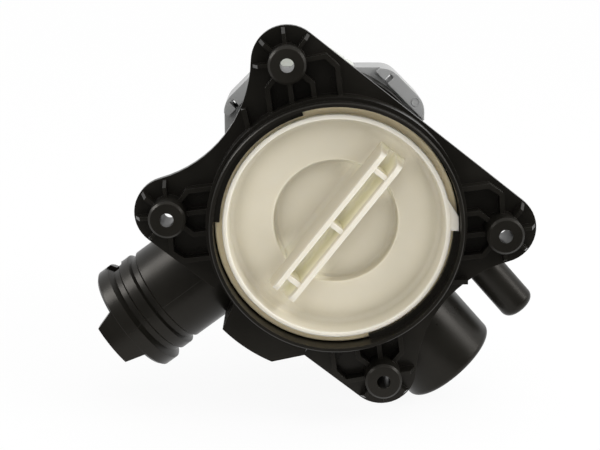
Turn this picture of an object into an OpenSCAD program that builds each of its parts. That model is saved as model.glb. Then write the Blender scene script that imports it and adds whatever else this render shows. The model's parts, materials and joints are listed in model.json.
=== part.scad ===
// Drain pump of a washing machine: filter neck, pump chamber and motor in one unit.
// The filter axis runs along Y and the origin lies on it, in the plane of the four boss faces.
// X runs to the right, Y away from the service side and Z up. Depths are measured along Y.

/* [Collar] */
// Outside radius of the collar round the cap
collar_r = 43.9; // [43:0.1:45.5]
// Wall of the collar
collar_wall = 1.4; // [1.2:0.1:2]
// How far the collar stands in front of the boss faces
collar_front = 3; // [1:0.1:5]
// Bevel of the collar's front edge
collar_bevel = 0.4; // [0.2:0.1:0.6]
// Width of the step round the foot of the collar
collar_step = 1.3; // [0.8:0.1:2]
// Depth of the step's front face
collar_step_depth = 2; // [1:0.1:6]
// Half of the angle that a bayonet lug covers
lug_half_angle = 35.5; // [30:0.5:36]
// Radial length of a bayonet lug
lug_len = 2; // [1.5:0.1:2.3]
// Depth of a lug's front face
lug_depth = 1.9; // [1.5:0.1:2]
// Thickness of a bayonet lug
lug_t = 1.8; // [1.4:0.1:1.9]

/* [Flange] */
// Direction of the flange's short axis, from X towards Z
flange_turn = 52; // [40:1:65]
// Distance of the screw holes along the long axis
hole_span_long = 95.7; // [94:0.1:99]
// Distance of the screw holes along the short axis
hole_span_short = 67.3; // [65:0.1:70]
// Diameter of a screw hole
hole_d = 4.8; // [4:0.1:6]
// Diameter of a screw boss
boss_d = 13; // [11:0.1:15]
// Chamfer at the front edge of a boss
boss_chamfer = 0.8; // [0.4:0.1:1.2]
// Radius of an ear round its hole
ear_r = 12.5; // [11.5:0.1:13]
// Half width of the flange at its waist
waist = 49.3; // [48.5:0.1:51]
// Depth of the plate's front face
plate_depth = 12; // [10:0.5:14]
// Thickness of the plate
plate_t = 3; // [2:0.1:4]
// Thickness of a stiffening rib
rib_t = 1.6; // [1.2:0.1:2.2]
// Depth of the ribs' front edge
rib_depth = 7; // [4:0.5:9]
// Depth of the gussets' front edge
gusset_depth = 6.5; // [5:0.5:9]

/* [Filter chamber] */
// Depth of the mouth that takes the cap's bayonet
mouth_depth = 10; // [9.5:0.1:11]
// Wall of the filter chamber
chamber_wall = 3; // [2:0.1:3.5]
// Depth of the filter chamber's floor
chamber_depth = 50; // [48:0.5:52]
// Thickness of the wall between filter chamber and pump chamber
partition_t = 3; // [2:0.1:4]
// Radius of the opening to the impeller
eye_r = 11.5; // [9:0.5:14]
// Outer radius of the sediment pad under the collar
pad_r = 55.9; // [54:0.1:58]
// Depth of the pad's front face
pad_depth = 8; // [5:0.5:12]
// Depth of the pad's rear face
pad_end = 36; // [30:1:40]

/* [Hose spigots] */
// Direction of the inlet spigot, from X towards Z
inlet_angle = -48.5; // [-55:0.5:-42]
// Offset of the inlet axis from the filter axis
inlet_offset = -7.2; // [-9:0.1:-4]
// Depth of the inlet axis
inlet_depth = 38.5; // [37:0.5:40]
// Outside diameter of the inlet spigot
inlet_d = 38.5; // [36:0.1:39]
// Wall of the inlet spigot
inlet_wall = 2.6; // [2:0.1:3.5]
// End of the inlet spigot along its axis
inlet_end = 76; // [66:0.5:85]
// Start of the inlet's hose seat along its axis
inlet_seat = 50; // [46:0.5:56]
// Offset of the small spigot from the filter axis
vent_offset = 26.7; // [25:0.1:28]
// Outside diameter of the small spigot
vent_d = 13.3; // [11:0.1:15]
// Wall of the small spigot
vent_wall = 2.2; // [1.5:0.1:3]
// End of the small spigot along its axis
vent_end = 77; // [68:0.5:90]
// Start of the small spigot's hose seat along its axis
vent_seat = 46; // [44:0.5:52]
// Height of the step that stops the hoses
seat_step = 0.3; // [0.2:0.1:0.6]

/* [Outlet socket] */
// Direction of the outlet socket, from X towards Z
outlet_angle = 216.8; // [210:0.1:224]
// Offset of the outlet axis from the filter axis
outlet_offset = -9.6; // [-12:0.1:-7]
// Depth of the outlet axis
outlet_depth = 40; // [38:0.5:41]
// Outside diameter of the outlet's plain stretch
outlet_d = 38.6; // [37.5:0.1:40]
// Outside diameter of the middle band
band_d = 40; // [39:0.1:42]
// Outside diameter of the rim
rim_d = 43; // [42:0.1:45]
// End of the socket along its axis
outlet_end = 88; // [86:0.5:95]
// Radius of the socket's bore
socket_r = 16.4; // [16:0.1:16.8]
// Depth of the bore from the rim to the valve's shoulder
socket_len = 23; // [22:0.5:25]
// Depth of the grooves before the bands
groove_t = 0.8; // [0.4:0.1:1.2]
// Length of the tongue beyond the rim
tongue_len = 6.7; // [4:0.1:9]
// Width of the tongue at the rim
tongue_w = 22; // [18:0.5:24]
// Length of the latch window along the axis
window_len = 6; // [4:0.5:8]

/* [Pump chamber] */
// Place of the pump axis along X
pump_x = -3.1; // [-5:0.1:0]
// Height of the pump axis over the filter axis
pump_z = 9.9; // [9:0.1:12]
// Outside radius of the volute
volute_r = 39; // [37.5:0.1:39.4]
// Wall of the volute, which takes the cover screws
volute_wall = 8; // [7.5:0.1:9]
// Depth of the joint between housing and cover
cover_depth = 62; // [61.5:0.5:66]
// Width of the duct from the volute to the outlet
duct_w = 18; // [14:0.5:20]
// Wall of the duct
duct_wall = 2.2; // [1.6:0.1:3]

/* [Filter cap] */
// Room between the cap's ring and the mouth of the collar
cap_room = 3; // [2.6:0.1:3.4]
// Wall of the cap's ring at its top
cap_ring_t = 1.7; // [1.4:0.1:2.4]
// Depth of the ring's front
cap_front = 0.8; // [0:0.1:1.2]
// Depth of the cap's floor
cap_floor = 11; // [9.5:0.1:12]
// Draft of the cap's inner wall
cap_draft = 0.6; // [0.4:0.1:1.5]
// Thickness of the cap's floor
cap_floor_t = 2; // [1.6:0.1:2.4]
// Radius of the central pocket
pocket_r = 21.9; // [20:0.1:24]
// Depth of the pocket below the floor
pocket_drop = 5; // [3:0.1:6]
// Length of the grip
grip_len = 61; // [54:0.5:64]
// Thickness of a grip rib at its top
grip_rib_t = 1.7; // [1.4:0.1:2.6]
// Gap between the two grip ribs
grip_gap = 5.4; // [4:0.1:6]
// Depth of the grip's top, negative in front of the bosses
grip_top = -1; // [-2.5:0.1:1]
// Distance of the outer cross webs from the middle
grip_web_at = 24; // [18:0.5:27]
// Thickness of a cross web
grip_web_t = 1.8; // [1.2:0.1:2.4]
// Reach of a bayonet tab beyond the cap's ring
tab_reach = 2; // [1.6:0.1:2.2]
// Half of the angle that a bayonet tab covers
tab_half_angle = 33; // [25:0.5:33.5]
// Angle of the stop nose
nose_angle = 16; // [12:0.5:17]
// Angle of the nose's full height, before its ramp
nose_flat = 7; // [4:0.5:9]
// Length of the strainer behind the cap
strainer_len = 30; // [24:0.5:31]
// Number of strainer bars
strainer_bars = 12; // [8:1:18]

/* [Pump cover] */
// Width of the cover across its flats
cover_w = 76.4; // [75:0.1:78]
// Cut at the corners of the cover
cover_cut = 13; // [11:0.5:15]
// Thickness of the cover's plate
cover_t = 8; // [7.5:0.1:9]
// Height of the corner towers over the plate's front
tower_h = 3.4; // [2:0.1:3.8]
// Depth of the recess for the impeller
recess_t = 4.5; // [4:0.1:5]
// Length of the skirt behind the plate
skirt_len = 8; // [6:0.5:14]
// Wall of the skirt
skirt_t = 2.4; // [2:0.1:3]
// Gap between the skirt and the motor housing
skirt_gap = 1.3; // [1:0.1:2]

/* [Impeller and rotor] */
// Radius of the impeller
impeller_r = 26; // [22:0.5:28]
// Number of impeller blades
blade_count = 6; // [4:1:8]
// Thickness of a blade
blade_t = 1.8; // [1.4:0.1:2.4]
// Diameter of the shaft
shaft_d = 4; // [3.5:0.1:4.4]
// Radius of the rotor magnet
magnet_r = 11; // [9:0.5:11.5]
// Length of the rotor magnet
magnet_len = 25; // [20:0.5:25]
// Gap between magnet and can
magnet_gap = 1; // [0.6:0.1:1.4]
// Wall of the rotor can
can_wall = 1.3; // [1:0.1:1.6]

/* [Motor] */
// Depth of the lamination stack along the pump axis
stack_t = 20; // [16:0.5:20]
// Width of a stator leg
leg_w = 10; // [8:0.5:10.5]
// Distance of a leg's middle from the pump axis
leg_at = 16; // [15.5:0.1:16.5]
// Length of the legs
leg_len = 27; // [24:0.5:27]
// Width of the motor housing
motor_w = 69; // [68:0.5:70]
// Length of the motor housing along the pump axis
motor_len = 42; // [41:0.5:46]
// Wall of the motor housing
motor_wall = 2; // [1.6:0.1:2.4]

/* [Clearances] */
// Radial play of a running fit
run_gap = 0.05; // [0.02:0.01:0.09]
// Play between fixed pieces that are pushed together
seat_gap = 0.08; // [0.02:0.01:0.15]
// Room between pieces that move past each other
move_gap = 0.4; // [0.3:0.05:0.6]

/* [Hidden] */
$fn = 96;

black = [0.09, 0.09, 0.085];
cream = [0.86, 0.84, 0.75];
grey = [0.56, 0.57, 0.57];
eps = 0.5;

// Collar and cap seat
mouth_r = collar_r - collar_wall;
cap_r = mouth_r - cap_room;
lug_r = mouth_r - lug_len;
seal_depth = lug_depth + lug_t + move_gap;
seal_t = 1.4;
seal_r = mouth_r - move_gap;
rail_depth = seal_depth + seal_t;
rail_t = 3;
rail_r = cap_r + move_gap;
tab_r = cap_r + tab_reach;
skirt_wall = 2.6;
skirt_step = 1;
skirt_r = cap_r - skirt_step;
o_ring_r = 1;
o_ring_depth = 15.5;
cap_groove_t = 1.3;
chamber_gap = 1.2;
chamber_r = skirt_r + chamber_gap;
cap_skirt_end = 22;
cap_skirt_in = skirt_r - skirt_wall;

// Flange outline: four ears, straight long sides and hollow waists, in its own frame
v0 = hole_span_short / 2;
u0 = hole_span_long / 2;
dip = waist - u0;
waist_r = (v0 * v0 + dip * dip - ear_r * ear_r) / (2 * (ear_r - dip));
waist_c = waist + waist_r;
ear_turn = atan2(waist_c - u0, -v0);
plate_back = plate_depth + plate_t;
notch_from = -21.6;
notch_to = 18.7;
notch_bite = 5;

// Sediment pad: angles from its middle, and the flare of its sides
pad_mid = flange_turn + 180;
pad_low = -8;
pad_high = 14;
pad_flare = 6;
pad_flare_at = 25;
pad_root_low = -15;
pad_root_high = 26;

// Hose spigots
spigot_start = chamber_r - 18;
spigot_overlap = 2;
inlet_bore_start = chamber_r - 9.4;
inlet_edge = 2;
vent_edge = 3;

// Depths of the pump chamber and the motor
pump_front = chamber_depth + partition_t;
volute_in = volute_r - volute_wall;
screw_ring = volute_r - 2.6;
screw_angles = [60, 120, 240, 300];
screw_r = 1.4;
screw_head_r = 2.6;
screw_head_t = 2;
head_room = 0.6;
screw_hole_r = 1.8;
pilot_r = 1.5;
pilot_len = 7;
cover_groove_r = volute_in + 1.4;
cover_groove_w = 2;
cover_groove_t = 1.8;
cover_ring_r = 0.85;
recess_floor = cover_depth + recess_t;
plate_end = cover_depth + cover_t;
hub_r = 15;
hub_len = 7;
seal_pocket_r = 6;
seal_pocket_t = 2.4;
bearing_pocket_r = 8.5;
bearing_t = 5;
bearing_r = 5;
can_in = magnet_r + magnet_gap;
can_out = can_in + can_wall;
hub_end = plate_end + hub_len;
magnet_room = 2;
magnet_front = hub_end + magnet_room;
magnet_end = magnet_front + magnet_len;
rear_bearing_room = 1.5;
rear_bearing_front = magnet_end + rear_bearing_room;
rear_bearing_t = 4;
rear_pocket_r = 7;
rear_bearing_r = 4.5;
bearing_room = 0.5;
can_floor = rear_bearing_front + rear_bearing_t + bearing_room;
can_floor_t = 1.5;
can_end = can_floor + can_floor_t;
shaft_r = shaft_d / 2;
shaft_inset = 2;
shaft_front = pump_front + shaft_inset;
shaft_hole_r = shaft_r + 0.8;
press_gap = 0.02;
washer_r = 5;
washer_t = 0.8;
washer_gap = 0.1;

// Corner towers of the cover, along and across their own diagonals
tower_angles = [45, 135];
tower_foot = 0.8;
tower_from = 14;
tower_to = 12;
slot_at = 5.9;
slot_w = 1.9;
slot_len = 3.4;
lip_t = 1.8;

// Impeller and its dog
impeller_room = 1.5;
impeller_front = pump_front + impeller_room;
impeller_end = recess_floor - impeller_room;
shroud_t = 1.8;
dog_r = 3.8;
dog_reach = 7.2;
dog_half_angle = 18;
dog_cover = 4;
dog_front = impeller_front + dog_cover;
dog_inset = 0.6;
cavity_r = dog_reach + move_gap;
hub_wall = 1.8;
impeller_hub_r = cavity_r + hub_wall;

// Stator and motor housing, about the pump axis
core_mid = magnet_front + magnet_len / 2;
core_gap = 0.3;
core_bore = can_out + core_gap;
pole_top = 20;
pole_bottom = -14;
pole_lip = 2;
pole_half = leg_at + leg_w / 2 + pole_lip;
pole_slot_top = 4;
pole_slot_bottom = 8;
yoke_h = 11;
motor_top = 28;
motor_room = 4;
motor_bottom = pole_bottom - leg_len - yoke_h - motor_room;
motor_front = plate_end;
tray_w = motor_w + 2 * (skirt_gap + skirt_t);
motor_end = motor_front + motor_len;
motor_corner = 6;
post_inset = 4;
post_x = motor_w / 2 - post_inset;
post_z = [22, -9];
post_r = 3.4;
post_hole_r = 1.5;
post_bite = 6;
tray_front = plate_end - post_bite;
motor_hole_r = post_hole_r + 0.2;
bobbin_wall = 1.2;
bobbin_flange_t = 1.5;
bobbin_w = 19.4;
bobbin_side = 5;
bobbin_d = stack_t + 2 * bobbin_side;
bobbin_top = pole_bottom - seat_gap;
bobbin_bottom = pole_bottom - leg_len + seat_gap;
winding_inset = 0.5;
lid_t = 2.5;

// Terminal block on the top flat of the cover, and its blades
block_w = 32;
block_x = -4.3;
block_h = 7.4;
block_slope = 11.5;
block_inset = 1;
block_front = tray_front;
block_end = plate_end + skirt_len - block_inset;
block_floor_t = 6;
block_wall = 1.4;
block_base = tray_w / 2 + seat_gap;
blade_w = 4.8;
blade_thick = 0.8;
blade_step = 7;
blade_x = -4;
blade_front = block_front + 1;
blade_end = block_end - 2;

// Outlet socket: places along its axis
shoulder = outlet_end - socket_len;
throat_r = 13.5;
outlet_start = 40;
outlet_floor = 6;
throat_start = outlet_start + outlet_floor;
duct_len = 12;
duct_end = throat_start + duct_len;
duct_back = cover_depth - outlet_depth - duct_wall - move_gap;
rim_chamfer = 1;
groove_len = 2.1;
groove_ramp = 0.7;
rim_at = outlet_end - 5.6;
rim_foot = rim_at - 2 * groove_ramp;
band_end = rim_foot - groove_len - groove_ramp;
band_at = band_end - 3.8;
band_foot = band_at - groove_ramp;
plain_end = band_foot - groove_len - groove_ramp;
tongue_root = 3;
tongue_taper = 3;
tongue_inset = 0.2;
tongue_gap = 1.2;
window_w = 6.4;
window_end = outlet_end - 4.7;

// Non-return valve and seal ring in the socket
seat_t = 2.5;
seat_lap = 1.5;
flap_t = 2;
flap_r = 11;
pin_r = 1;
pin_at = flap_r + 2;
pin_rise = 0.6;
pin_along = shoulder + seat_t + move_gap + flap_t / 2 + pin_rise;
pin_end = 0.4;
knuckle_r = 2;
ear_in = 4;
ear_out = 6.4;
ear_len = 3.6;
o_seal_r = 1.1;
o_seal_at = shoulder + 9;

// Points of an arc, ends included
function arc(c, r, a0, a1, n = 16) =
    [for (i = [0:n]) c + r * [cos(a0 + (a1 - a0) * i / n), sin(a0 + (a1 - a0) * i / n)]];
// Points of an arc without its ends
function inner_arc(c, r, a0, a1, n = 16) =
    [for (i = [1:n - 1]) c + r * [cos(a0 + (a1 - a0) * i / n), sin(a0 + (a1 - a0) * i / n)]];
// Distance from p along unit vector d to the circle of radius r about the origin
function reach(p, d, r) = -(p * d) - sqrt((p * d) * (p * d) - p * p + r * r);
function unit(a) = [cos(a), sin(a)];

// Outline in X and Z carried from one depth to another
module slab(y0, y1) {
    translate([0, y1, 0])
        rotate([90, 0, 0])
            linear_extrude(y1 - y0)
                children();
}

// Round disc about the Y axis
module disc(r, y0, y1) {
    translate([0, y0, 0])
        rotate([-90, 0, 0])
            cylinder(r = r, h = y1 - y0);
}

// Ring about the Y axis
module ring(r_out, r_in, y0, y1) {
    difference() {
        disc(r_out, y0, y1);
        disc(r_in, y0 - eps, y1 + eps);
    }
}

// Profile of radius and depth turned about the Y axis
module turned() {
    rotate([-90, 0, 0])
        rotate_extrude()
            children();
}

// Wedge of the XZ plane between two angles
module wedge(r, a0, a1) {
    polygon(concat([[0, 0]], arc([0, 0], r, a0, a1)));
}

module at_pump() {
    translate([pump_x, 0, pump_z])
        children();
}

// Frame of a spigot: Z runs outwards along its axis, Y stays the depth
module spigot(angle, offset, depth) {
    translate([0, depth, 0])
        rotate([0, -angle, 0])
            translate([0, 0, offset])
                rotate([0, 90, 0])
                    children();
}

module inlet_frame() {
    spigot(inlet_angle, inlet_offset, inlet_depth)
        children();
}

module vent_frame() {
    spigot(inlet_angle, vent_offset, inlet_depth)
        children();
}

module outlet_frame() {
    spigot(outlet_angle, outlet_offset, outlet_depth)
        children();
}

// Flange

function flange_outline() = concat(
    arc([v0, u0], ear_r, 0, ear_turn),
    inner_arc([0, waist_c], waist_r, ear_turn + 180, 360 - ear_turn),
    arc([-v0, u0], ear_r, 180 - ear_turn, 180),
    arc([-v0, -u0], ear_r, 180, 180 + ear_turn),
    inner_arc([0, -waist_c], waist_r, ear_turn, 180 - ear_turn),
    arc([v0, -u0], ear_r, 360 - ear_turn, 360));

module flange_plate() {
    slab(plate_depth, plate_back)
        rotate(flange_turn)
            difference() {
                polygon(flange_outline());
                translate([-v0 - 2 * ear_r, notch_from])
                    square([v0 + 2 * ear_r - mouth_r + notch_bite, notch_to - notch_from]);
            }
}

// Straight wall between two points of the flange's frame
module wall(p, q) {
    d = q - p;
    translate(p)
        rotate(atan2(d.y, d.x))
            translate([0, -rib_t / 2])
                square([norm(d), rib_t]);
    translate(q)
        circle(d = rib_t, $fn = 24);
}

// Ribs of one ear; sv and su choose the quadrant
module ear_ribs(sv, su) {
    c = [v0, u0];
    inwards = unit(225);
    arm = 11;
    kink_a = c + arm * unit(180);
    kink_b = c + arm * unit(270);
    far_arm = 13.4;
    far_a = c + far_arm * unit(318);
    far_b = far_a + [-0.4, -5.2];
    foot = collar_r - 1;
    paths = [
        [c, kink_a, kink_a + reach(kink_a, inwards, foot) * inwards],
        [c, c + reach(c, inwards, foot) * inwards],
        [c, kink_b, kink_b + reach(kink_b, inwards, foot) * inwards],
        [c, far_a, far_b, far_b + reach(far_b, inwards, foot) * inwards],
    ];
    for (path = paths)
        for (i = [1:len(path) - 1])
            wall([sv * path[i - 1].x, su * path[i - 1].y], [sv * path[i].x, su * path[i].y]);
}

// Short gussets from the bosses to the rim of the ears, sloping at their ends
module gussets() {
    low = plate_depth - 1;
    root = plate_depth + plate_t / 2;
    heel = boss_d / 2 - 1;
    toe = ear_r - 0.6;
    flat = toe - 1.8;
    thick = 0.75 * rib_t;
    for (sv = [-1, 1], su = [-1, 1], a = [0:45:135])
        rotate([0, -flange_turn, 0])
            translate([sv * v0, 0, su * u0])
                rotate([0, -atan2(su * sin(a), sv * cos(a)), 0])
                    translate([0, 0, -thick / 2])
                        linear_extrude(thick)
                            polygon([[heel, gusset_depth], [flat, gusset_depth], [toe, low], [toe, root],
                                [heel, root]]);
}

// Short rib at the waist of the flange
module waist_rib(su) {
    from = [12, waist + 0.6];
    to = [7.5, collar_r + 0.4];
    wall([from.x, su * from.y], [to.x, su * to.y]);
}

module flange_ribs() {
    slab(rib_depth, plate_depth + eps)
        rotate(flange_turn) {
            for (sv = [-1, 1], su = [-1, 1])
                ear_ribs(sv, su);
            for (su = [-1, 1])
                waist_rib(su);
        }
}

// Carries its children to the four screw holes
module at_holes() {
    for (sv = [-1, 1], su = [-1, 1])
        rotate([0, -flange_turn, 0])
            translate([sv * v0, 0, su * u0])
                children();
}

module boss() {
    turned()
        polygon([[0, 0], [boss_d / 2 - boss_chamfer, 0], [boss_d / 2, boss_chamfer],
            [boss_d / 2, plate_depth + eps], [0, plate_depth + eps]]);
}

// Housing

// Round-ended hose spigot, from inside the chamber wall past its hose seat to its end
module spigot_solid(d, seat, end, edge) {
    root = d / 2 + seat_step;
    rotate_extrude()
        polygon(concat([[0, spigot_start], [root, spigot_start], [root, seat], [d / 2, seat]],
            arc([d / 2 - edge, end - edge], edge, 0, 90, 8),
            [[0, end]]));
}

// Stepped outside of the outlet socket
module outlet_solid() {
    r0 = outlet_d / 2;
    r1 = band_d / 2;
    r2 = rim_d / 2;
    rotate_extrude()
        polygon([[0, outlet_start], [r0, outlet_start], [r0, plain_end],
            [r0 - groove_t, plain_end + groove_ramp], [r0 - groove_t, band_foot], [r1, band_at],
            [r1, band_end], [r1 - groove_t, band_end + groove_ramp],
            [r1 - groove_t, rim_foot], [r2, rim_at], [r2, outlet_end - rim_chamfer],
            [r2 - rim_chamfer, outlet_end], [0, outlet_end]]);
}

// Trapezoid tongue on the service side of the rim
module tongue() {
    intersection() {
        difference() {
            cylinder(r = rim_d / 2 - tongue_inset, h = outlet_end + tongue_len);
            translate([0, 0, -eps])
                cylinder(r = socket_r + tongue_gap, h = outlet_end + tongue_len + 2 * eps);
        }
        rotate([90, 0, 0])
            linear_extrude(rim_d)
                polygon([[-tongue_w / 2, outlet_end - tongue_root], [tongue_w / 2, outlet_end - tongue_root],
                    [tongue_w / 2 - tongue_taper, outlet_end + tongue_len],
                    [-tongue_w / 2 + tongue_taper, outlet_end + tongue_len]]);
    }
}

// Sediment pad: sides flare towards the collar, outer face is an arc about the filter axis
module pad() {
    root_r = collar_r - 1;
    slab(pad_depth, pad_end)
        polygon(concat(arc([0, 0], pad_r, pad_mid + pad_low, pad_mid + pad_high),
            [(collar_r + pad_flare) * unit(pad_mid + pad_flare_at), root_r * unit(pad_mid + pad_root_high),
                root_r * unit(pad_mid + pad_root_low)]));
}

module housing_outside() {
    turned()
        polygon([[0, -collar_front], [collar_r - collar_bevel, -collar_front],
            [collar_r, collar_bevel - collar_front], [collar_r, plate_back - 1], [0, plate_back - 1]]);
    disc(collar_r + collar_step, collar_step_depth, plate_back - 0.5);
    disc(chamber_r + chamber_wall, plate_depth, pump_front);
    flange_plate();
    flange_ribs();
    gussets();
    at_holes()
        boss();
    pad();
    intersection() {
        union() {
            inlet_frame()
                spigot_solid(inlet_d, inlet_seat, inlet_end, inlet_edge);
            vent_frame()
                spigot_solid(vent_d, vent_seat, vent_end, vent_edge);
        }
        slab(-inlet_end, cover_depth)
            square(4 * inlet_end, center = true);
    }
    outlet_frame() {
        outlet_solid();
        tongue();
    }
    at_pump()
        disc(volute_r, pump_front - 2 * partition_t, cover_depth);
    outlet_frame()
        duct(volute_in, duct_end + duct_wall, 0, duct_back + duct_wall, duct_w + 2 * duct_wall);
}

// Box of the discharge duct: from along to along, from depth to depth behind the outlet axis
module duct(from, to, front, back, width) {
    translate([-width / 2, front, from])
        cube([width, back - front, to - from]);
}

module housing_inside() {
    disc(mouth_r, -collar_front - eps, mouth_depth);
    disc(chamber_r, mouth_depth - eps, chamber_depth);
    at_holes()
        disc(hole_d / 2, -eps, plate_back + eps);
    inlet_frame()
        translate([0, 0, inlet_bore_start])
            cylinder(r = inlet_d / 2 - inlet_wall, h = inlet_end);
    vent_frame()
        translate([0, 0, spigot_start - spigot_overlap])
            cylinder(r = vent_d / 2 - vent_wall, h = vent_end);
    outlet_frame() {
        translate([0, 0, throat_start])
            cylinder(r = throat_r, h = outlet_end);
        translate([0, 0, shoulder])
            cylinder(r = socket_r, h = socket_len + tongue_len + eps);
        translate([0, 0, o_seal_at])
            rotate_extrude()
                translate([socket_r - o_seal_r / 2, 0])
                    circle(r = o_seal_r + seat_gap, $fn = 32);
        translate([socket_r - 2 * eps, -window_w / 2, window_end - window_len])
            cube([rim_d / 2, window_w, window_len]);
    }
    at_pump() {
        disc(eye_r, chamber_depth - eps, pump_front + eps);
        disc(volute_in, pump_front, cover_depth + eps);
        screw_places()
            disc(pilot_r, cover_depth - pilot_len, cover_depth + eps);
    }
    outlet_frame() {
        duct(volute_in - volute_wall, duct_end, pump_front - outlet_depth, duct_back, duct_w);
        duct(throat_start, duct_end, 0, duct_back, duct_w);
    }
}

// Places of the four cover screws about the pump axis
module screw_places() {
    for (a = screw_angles)
        rotate([0, -a, 0])
            translate([screw_ring, 0, 0])
                children();
}

// Bayonet lugs inside the collar, centred on the long axis of the flange
module lugs() {
    for (a = [flange_turn + 90, flange_turn + 270])
        intersection() {
            ring(mouth_r + collar_wall / 2, lug_r, lug_depth, lug_depth + lug_t);
            slab(0, mouth_depth)
                wedge(2 * mouth_r, a - lug_half_angle, a + lug_half_angle);
        }
}

module pump_housing() {
    color(black) {
        difference() {
            housing_outside();
            housing_inside();
        }
        lugs();
    }
}

// Filter

// Side of the grip: length against depth, with rounded, sloping ends
module grip_side() {
    half = grip_len / 2;
    slope = 2.5;
    edge = 3;
    polygon(concat([[-half - slope, cap_floor + pocket_drop + 1]],
        [[half + slope, cap_floor + pocket_drop + 1]],
        arc([half - edge, grip_top + edge], edge, 0, -90, 8),
        arc([-half + edge, grip_top + edge], edge, -90, -180, 8)));
}

// Section of the grip: drafted flanks that flare into the floor
module grip_section() {
    top = grip_rib_t + grip_gap / 2;
    foot = top + 0.9;
    flare = 3.2;
    sink = 0.3;
    base = cap_floor + pocket_drop + sink;
    polygon(concat([[-top, grip_top], [top, grip_top]],
        arc([foot + flare, base - flare], flare, 180, 90, 8),
        [[foot + flare, base + 1], [-foot - flare, base + 1]],
        arc([-foot - flare, base - flare], flare, 90, 0, 8)));
}

// Section of the slot between the grip's ribs: drafted sides and a rounded bottom above the dish's floor
module slot_section() {
    bottom = 1.5;
    above = 1;
    middle = [cap_floor - above - bottom, 0];
    polygon(concat([[grip_top - eps, -grip_gap / 2], [grip_top - eps, grip_gap / 2]],
        arc(middle, bottom, 90, -90, 12)));
}

module grip() {
    length = 2 * cap_r;
    web_inset = 0.8;
    base = cap_floor + pocket_drop;
    foot = cap_floor_t / 2;
    rotate([0, -flange_turn, 0])
        difference() {
            intersection() {
                rotate([90, 0, 90])
                    translate([0, 0, -length / 2])
                        linear_extrude(length)
                            rotate(90)
                                mirror([0, 1])
                                    grip_section();
                translate([0, 0, -length / 2])
                    linear_extrude(length)
                        grip_side();
                turned()
                    polygon([[0, grip_top - eps], [cap_skirt_in, grip_top - eps],
                        [cap_skirt_in, cap_floor + foot], [pocket_r + foot, cap_floor + foot],
                        [pocket_r + foot, base + foot], [0, base + foot]]);
            }
            difference() {
                translate([-length / 2, 0, 0])
                    rotate([90, 0, 90])
                        linear_extrude(length)
                            slot_section();
                for (x = [-grip_web_at, 0, grip_web_at])
                    translate([x - grip_web_t / 2, grip_top + web_inset, -grip_gap])
                        cube([grip_web_t, base, 2 * grip_gap]);
            }
        }
}

// Turned body of the cap: ring, dish, pocket, seal groove, rail and skirt
module cap_body() {
    in_r = cap_r - cap_ring_t;
    foot_r = in_r - cap_draft;
    fillet = 2.2;
    ring_edge = 0.4;
    pocket_floor = cap_floor + pocket_drop;
    pocket_round = 1.2;
    pocket_edge = 0.6;
    pocket_lean = 0.3;
    groove_half = o_ring_r + seat_gap;
    turned()
        polygon(concat(
            [[0, pocket_floor]],
            arc([pocket_r - pocket_lean - pocket_round, pocket_floor - pocket_round], pocket_round, 90, 0, 6),
            arc([pocket_r + pocket_edge, cap_floor + pocket_edge], pocket_edge, 180, 270, 6),
            arc([foot_r - fillet, cap_floor - fillet], fillet, 90, 0, 8),
            arc([in_r + ring_edge, cap_front + ring_edge], ring_edge, 180, 270, 6),
            arc([cap_r - ring_edge, cap_front + ring_edge], ring_edge, 270, 360, 6),
            [[cap_r, seal_depth], [skirt_r, seal_depth], [skirt_r, rail_depth], [rail_r, rail_depth],
                [rail_r, rail_depth + rail_t], [skirt_r, rail_depth + rail_t],
                [skirt_r, o_ring_depth - groove_half], [skirt_r - cap_groove_t, o_ring_depth - groove_half],
                [skirt_r - cap_groove_t, o_ring_depth + groove_half], [skirt_r, o_ring_depth + groove_half],
                [skirt_r, cap_skirt_end], [cap_skirt_in, cap_skirt_end],
                [cap_skirt_in, cap_floor + cap_floor_t], [pocket_r + cap_floor_t, cap_floor + cap_floor_t],
                [pocket_r + cap_floor_t, pocket_floor + cap_floor_t], [0, pocket_floor + cap_floor_t]]));
}

module cap_tabs() {
    for (a = [flange_turn + 90, flange_turn + 270])
        intersection() {
            ring(tab_r, rail_r - 1, rail_depth + seat_gap, rail_depth + rail_t);
            slab(0, mouth_depth)
                wedge(2 * mouth_r, a - tab_half_angle, a + tab_half_angle);
        }
}

// Stop nose between the lugs, against the end of the lower one
module cap_nose() {
    stop_play = 1;
    inset = 0.1;
    start = flange_turn + 270 + lug_half_angle + stop_play;
    end = start + nose_angle;
    root_r = cap_r - 1;
    slab(cap_front + inset, seal_depth)
        polygon(concat([root_r * unit(start)], arc([0, 0], mouth_r - move_gap, start, start + nose_flat, 8),
            [cap_r * unit(end), root_r * unit(end)]));
}

module filter_cap() {
    color(cream) {
        cap_body();
        cap_tabs();
        cap_nose();
        grip();
    }
}

module filter_strainer() {
    top = cap_floor + cap_floor_t + seat_gap;
    out_r = cap_skirt_in - seat_gap;
    end = top + strainer_len;
    hoop_t = 2.2;
    end_lip = 5;
    bar_t = 1.8;
    bar_inset = 0.2;
    color(cream) {
        ring(out_r, out_r - hoop_t, top, cap_skirt_end + 2 * eps);
        ring(out_r, out_r - hoop_t, top + strainer_len / 2, top + strainer_len / 2 + hoop_t);
        ring(out_r, out_r - end_lip, end - hoop_t, end);
        for (i = [0:strainer_bars - 1])
            rotate([0, i * 360 / strainer_bars, 0])
                translate([out_r - bar_inset - bar_t, top + hoop_t, -hoop_t / 2])
                    cube([bar_t, strainer_len - 2 * hoop_t + eps, hoop_t]);
    }
}

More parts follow.
